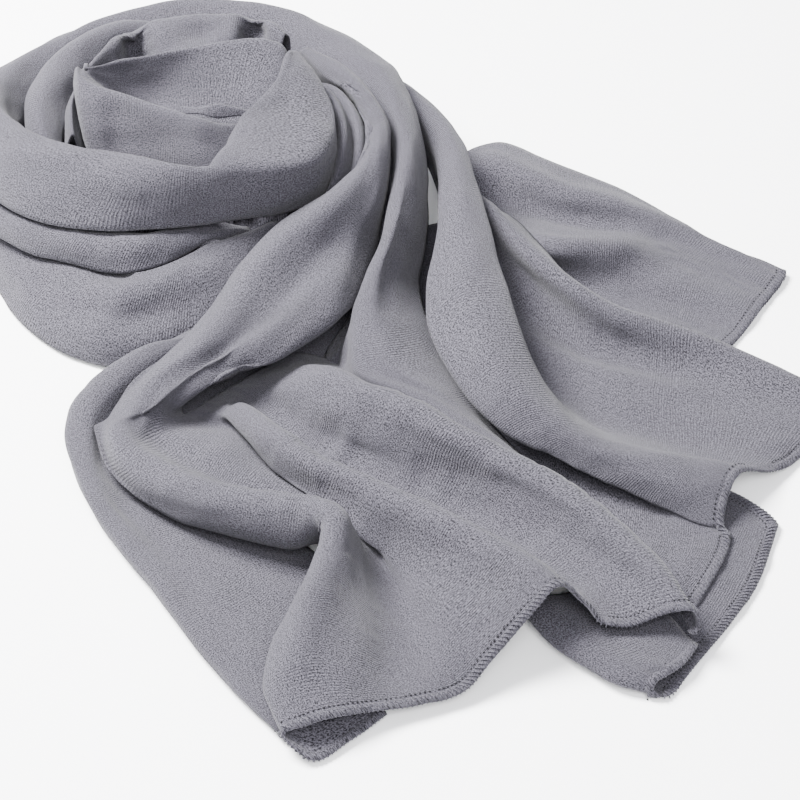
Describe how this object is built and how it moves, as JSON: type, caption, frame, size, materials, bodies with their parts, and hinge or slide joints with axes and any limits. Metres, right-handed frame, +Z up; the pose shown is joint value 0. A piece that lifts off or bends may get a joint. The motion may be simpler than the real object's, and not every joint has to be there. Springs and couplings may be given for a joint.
{
  "type": "jersey hijab",
  "caption": "Long jersey head scarf lying on a table as a loose open swirl, with its overlocked ends fanned out beside it in soft folds.",
  "frame": {"origin": "on the table, under the middle of the swirl", "axes": "+X to the right of the swirl, +Y to the back, +Z up from the table; the hemmed ends lie towards +X and -Y"},
  "size_m": [0.5511, 0.6198, 0.1],
  "materials": {
    "upper_turn_jersey": "matte brushed crepe jersey",
    "middle_front_turn_jersey": "matte brushed crepe jersey",
    "outer_turn_jersey": "matte brushed crepe jersey",
    "second_turn_jersey": "matte brushed crepe jersey",
    "inner_turn_jersey": "matte brushed crepe jersey",
    "inner_cup_jersey": "matte brushed crepe jersey",
    "centre_curl_jersey": "matte brushed crepe jersey",
    "side_turn_inner_jersey": "matte brushed crepe jersey",
    "side_turn_outer_jersey": "matte brushed crepe jersey",
    "bright_fold_jersey": "matte brushed crepe jersey",
    "long_fold_jersey": "matte brushed crepe jersey",
    "front_tail_jersey": "matte brushed crepe jersey",
    "middle_tail_jersey": "matte brushed crepe jersey",
    "back_tail_jersey": "matte brushed crepe jersey",
    "front_left_jersey": "matte brushed crepe jersey",
    "front_under_jersey": "matte brushed crepe jersey",
    "heap_core_jersey": "matte brushed crepe jersey"
  },
  "bodies": {
    "root": {"upper_turn": "upper_turn_jersey", "middle_front_turn": "middle_front_turn_jersey", "outer_turn": "outer_turn_jersey", "second_turn": "second_turn_jersey", "inner_turn": "inner_turn_jersey", "inner_cup": "inner_cup_jersey", "centre_curl": "centre_curl_jersey", "side_turn_inner": "side_turn_inner_jersey", "side_turn_outer": "side_turn_outer_jersey", "bright_fold": "bright_fold_jersey", "long_fold": "long_fold_jersey", "front_tail": "front_tail_jersey", "middle_tail": "middle_tail_jersey", "back_tail": "back_tail_jersey", "front_left": "front_left_jersey", "front_under": "front_under_jersey", "heap_core": "heap_core_jersey"}
  },
  "joints": []
}
